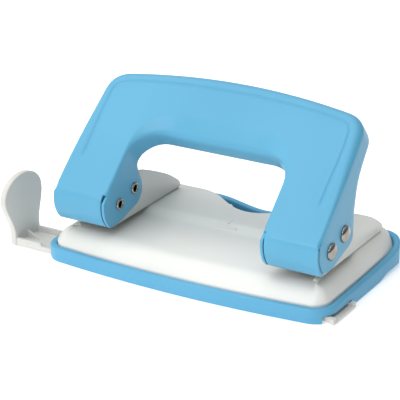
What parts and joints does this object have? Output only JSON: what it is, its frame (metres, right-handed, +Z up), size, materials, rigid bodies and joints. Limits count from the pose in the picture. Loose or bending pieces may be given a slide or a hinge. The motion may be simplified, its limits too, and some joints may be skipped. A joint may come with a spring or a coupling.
{
  "type": "hole punch",
  "caption": "Desk hole punch: pressed steel handle on riveted brackets over a steel base plate, with spring-loaded pins, a plastic chip tray and a sliding paper guide.",
  "frame": {"origin": "middle of the chip tray's footprint, on the table, under the punch's centre mark", "axes": "+X to the right along the row of holes, +Y to the rear, +Z up; paper goes in from the front, at -Y"},
  "size_m": [0.1266, 0.065, 0.0618],
  "materials": {
    "handle_paint": "glossy light blue enamel on pressed steel",
    "plate_paint": "satin off-white powder coat on pressed steel",
    "bracket_paint": "satin off-white powder coat on pressed steel",
    "tray_plastic": "satin light blue moulded plastic",
    "guide_plastic": "off-white moulded plastic",
    "nickel": "bright nickel plate",
    "pin_steel": "ground steel",
    "spring_steel": "drawn spring wire"
  },
  "bodies": {
    "base": {"base_plate": "plate_paint", "left_bracket": "bracket_paint", "right_bracket": "bracket_paint", "left_bracket_rivets": "nickel", "right_bracket_rivets": "nickel", "left_spring": "spring_steel", "right_spring": "spring_steel"},
    "handle": {"handle": "handle_paint", "left_pivot_rivet": "nickel", "right_pivot_rivet": "nickel", "left_drive_rivet": "nickel", "right_drive_rivet": "nickel"},
    "left_pin": {"left_punch_pin": "pin_steel", "left_spring_washer": "pin_steel", "left_retaining_clip": "spring_steel"},
    "right_pin": {"right_punch_pin": "pin_steel", "right_spring_washer": "pin_steel", "right_retaining_clip": "spring_steel"},
    "tray": {"chip_tray": "tray_plastic"},
    "guide": {"guide_bar": "guide_plastic"}
  },
  "joints": [
    {"name": "handle_press", "type": "hinge", "parent": "base", "child": "handle", "pos_m": [0, -0.01985, 0.02134], "axis": [-1, 0, 0], "range_deg": [0, 28], "stiffness_Nm_per_rad": 0.3, "springref_deg": -17.19},
    {"name": "left_pin_slide", "type": "slide", "parent": "base", "child": "left_pin", "axis": [0, 0, -1], "range_m": [0, 0.0048], "deforming": ["left_spring"]},
    {"name": "right_pin_slide", "type": "slide", "parent": "base", "child": "right_pin", "axis": [0, 0, -1], "range_m": [0, 0.0048], "deforming": ["right_spring"]},
    {"name": "tray_release", "type": "slide", "parent": "base", "child": "tray", "axis": [0, 0, -1], "range_m": [0, 0.03]},
    {"name": "guide_slide", "type": "slide", "parent": "tray", "child": "guide", "axis": [-1, 0, 0], "range_m": [-0.0025, 0.1]}
  ],
  "couplings": [
    {"joint": "left_pin_slide", "follows": "handle_press", "m_per_rad": 0.00966},
    {"joint": "right_pin_slide", "follows": "handle_press", "m_per_rad": 0.00966}
  ]
}
